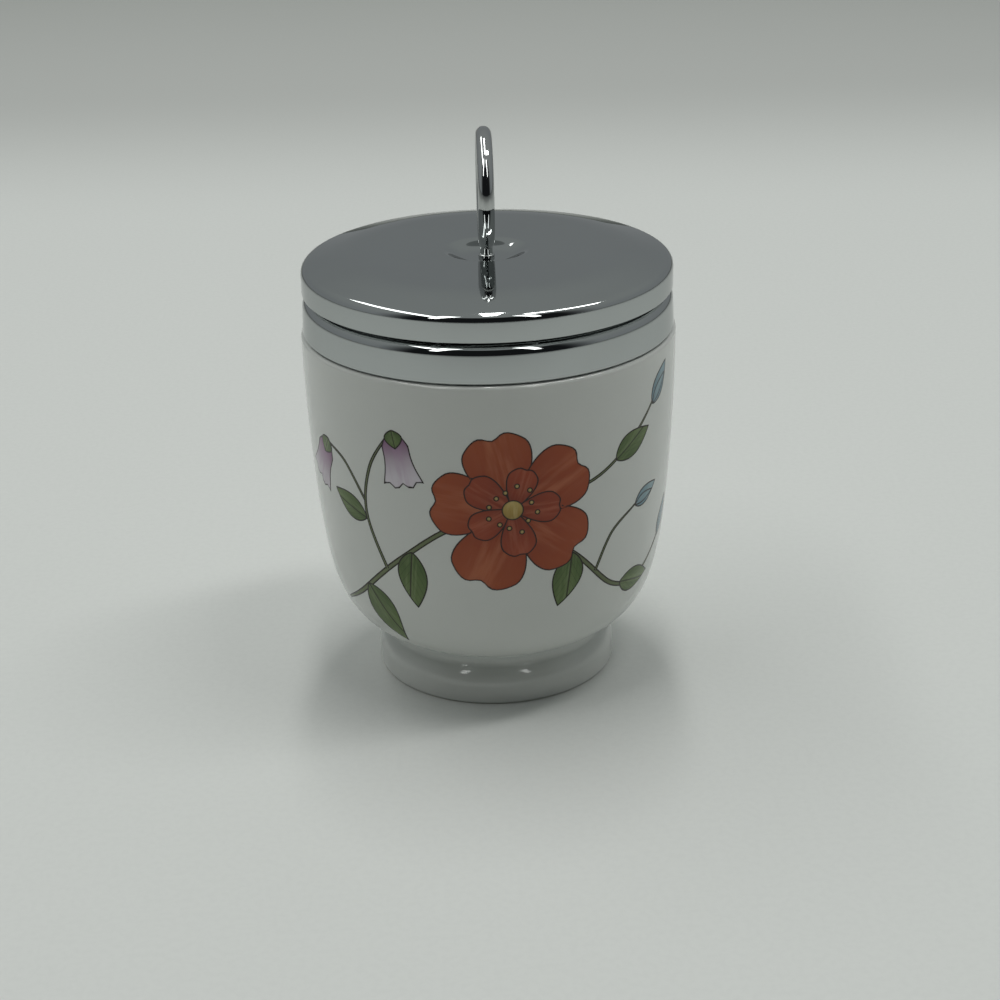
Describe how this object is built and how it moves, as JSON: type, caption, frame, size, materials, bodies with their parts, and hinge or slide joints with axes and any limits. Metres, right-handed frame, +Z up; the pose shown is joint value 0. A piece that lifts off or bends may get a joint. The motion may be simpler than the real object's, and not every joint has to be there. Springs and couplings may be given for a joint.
{
  "type": "porcelain egg coddler",
  "caption": "Footed porcelain egg coddler with a metal collar and a screw-on chromed lid that carries an upright lifting ring.",
  "frame": {"origin": "on the table, at the middle of the foot", "axes": "+Z up along the cup's axis; +X to the right and +Y away from the viewer, with the ring standing in the YZ plane"},
  "size_m": [0.059, 0.059, 0.0889],
  "materials": {
    "porcelain": "glossy clear glaze over white porcelain",
    "cement": "matt plaster cement",
    "collar_metal": "plated and polished",
    "seal_rubber": "matt moulded",
    "lid_chrome": "plated and polished, lightly worn",
    "ring_chrome": "plated and polished",
    "washer_steel": "plain"
  },
  "bodies": {
    "cup": {"cup": "porcelain", "neck_cement": "cement", "collar": "collar_metal"},
    "seal": {"lid_seal": "seal_rubber"},
    "lid": {"lid_shell": "lid_chrome", "lifting_ring": "ring_chrome", "rivet_washer": "washer_steel"}
  },
  "joints": [
    {"name": "lid_rise", "type": "slide", "parent": "cup", "child": "seal", "axis": [0, 0, 1], "range_m": [0, 0.0027]},
    {"name": "lid_turn", "type": "hinge", "parent": "seal", "child": "lid", "pos_m": [0, 0, 0.0675], "axis": [0, 0, 1], "range_deg": [0, 540]}
  ],
  "couplings": [
    {"joint": "lid_rise", "follows": "lid_turn", "m_per_rad": 0.00028648}
  ]
}
